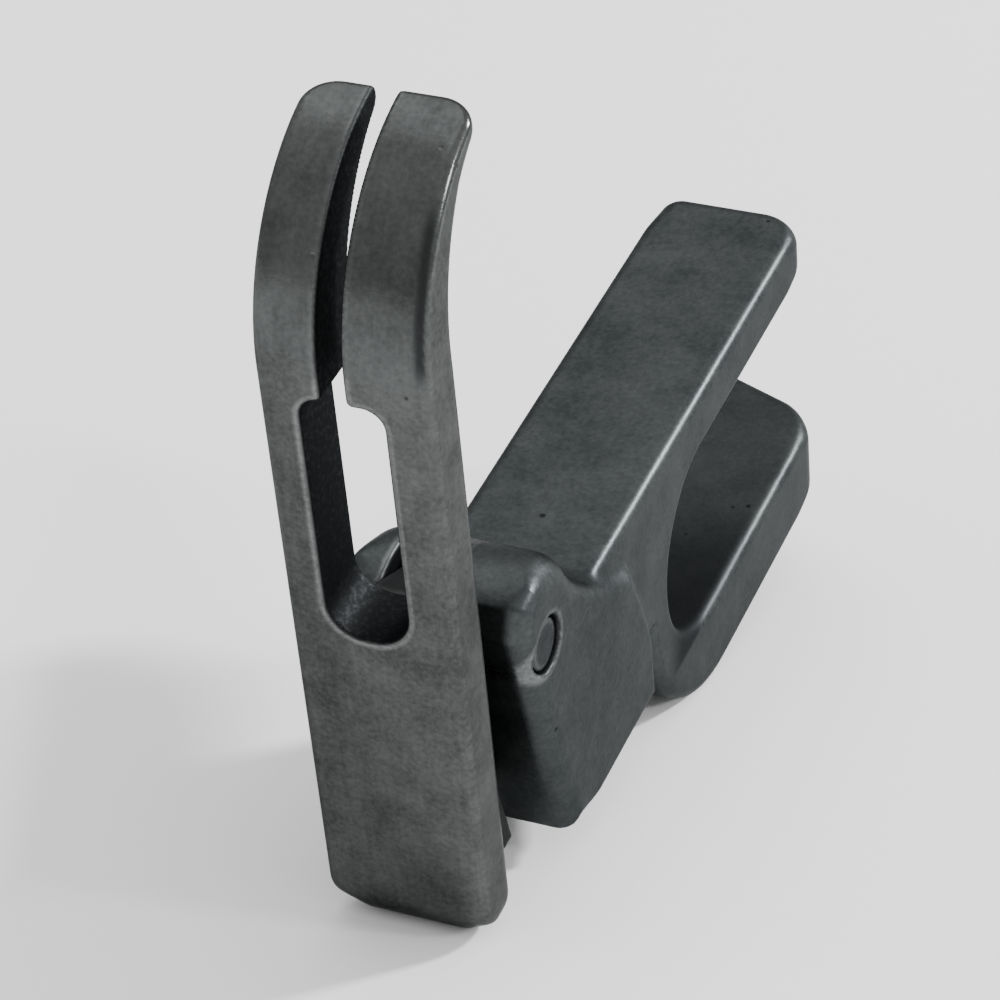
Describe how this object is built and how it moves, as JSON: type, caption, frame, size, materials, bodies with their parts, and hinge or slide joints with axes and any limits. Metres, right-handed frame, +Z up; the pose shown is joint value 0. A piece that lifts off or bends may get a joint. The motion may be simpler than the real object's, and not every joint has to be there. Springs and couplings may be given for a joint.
{
  "type": "hinged presser foot",
  "caption": "Hinged sewing machine presser foot: forked shank, clevis, and a split-toed sole with a needle slot that tips on a cross pin.",
  "frame": {"origin": "centre of the bounding box's bottom face: the foot lies on its back, on the heel edge of the sole and the round back of the shank", "axes": "+X across the foot along the hinge pin, to the right as seen from the toes; +Y from the sole towards the open end of the fork; +Z up, from the back of the shank to the toes' side"},
  "size_m": [0.0072, 0.0458, 0.0323],
  "materials": {
    "shank_steel": "satin, cast and ground, slightly mottled dark bluish grey",
    "sole_steel": "polished underside with faint streaks and dark pits, satin edges",
    "pin_steel": "turned end, satin",
    "spring_steel": "bare spring strip"
  },
  "bodies": {
    "shank": {"shank": "shank_steel", "hinge_pin": "pin_steel", "hinge_spring": "spring_steel"},
    "sole": {"sole": "sole_steel"}
  },
  "joints": [
    {"name": "sole_tip", "type": "hinge", "parent": "shank", "child": "sole", "pos_m": [0, -0.01257, 0.01062], "axis": [1, 0, 0], "range_deg": [-12, 9], "stiffness_Nm_per_rad": 0.02, "deforming": ["hinge_spring"]}
  ]
}
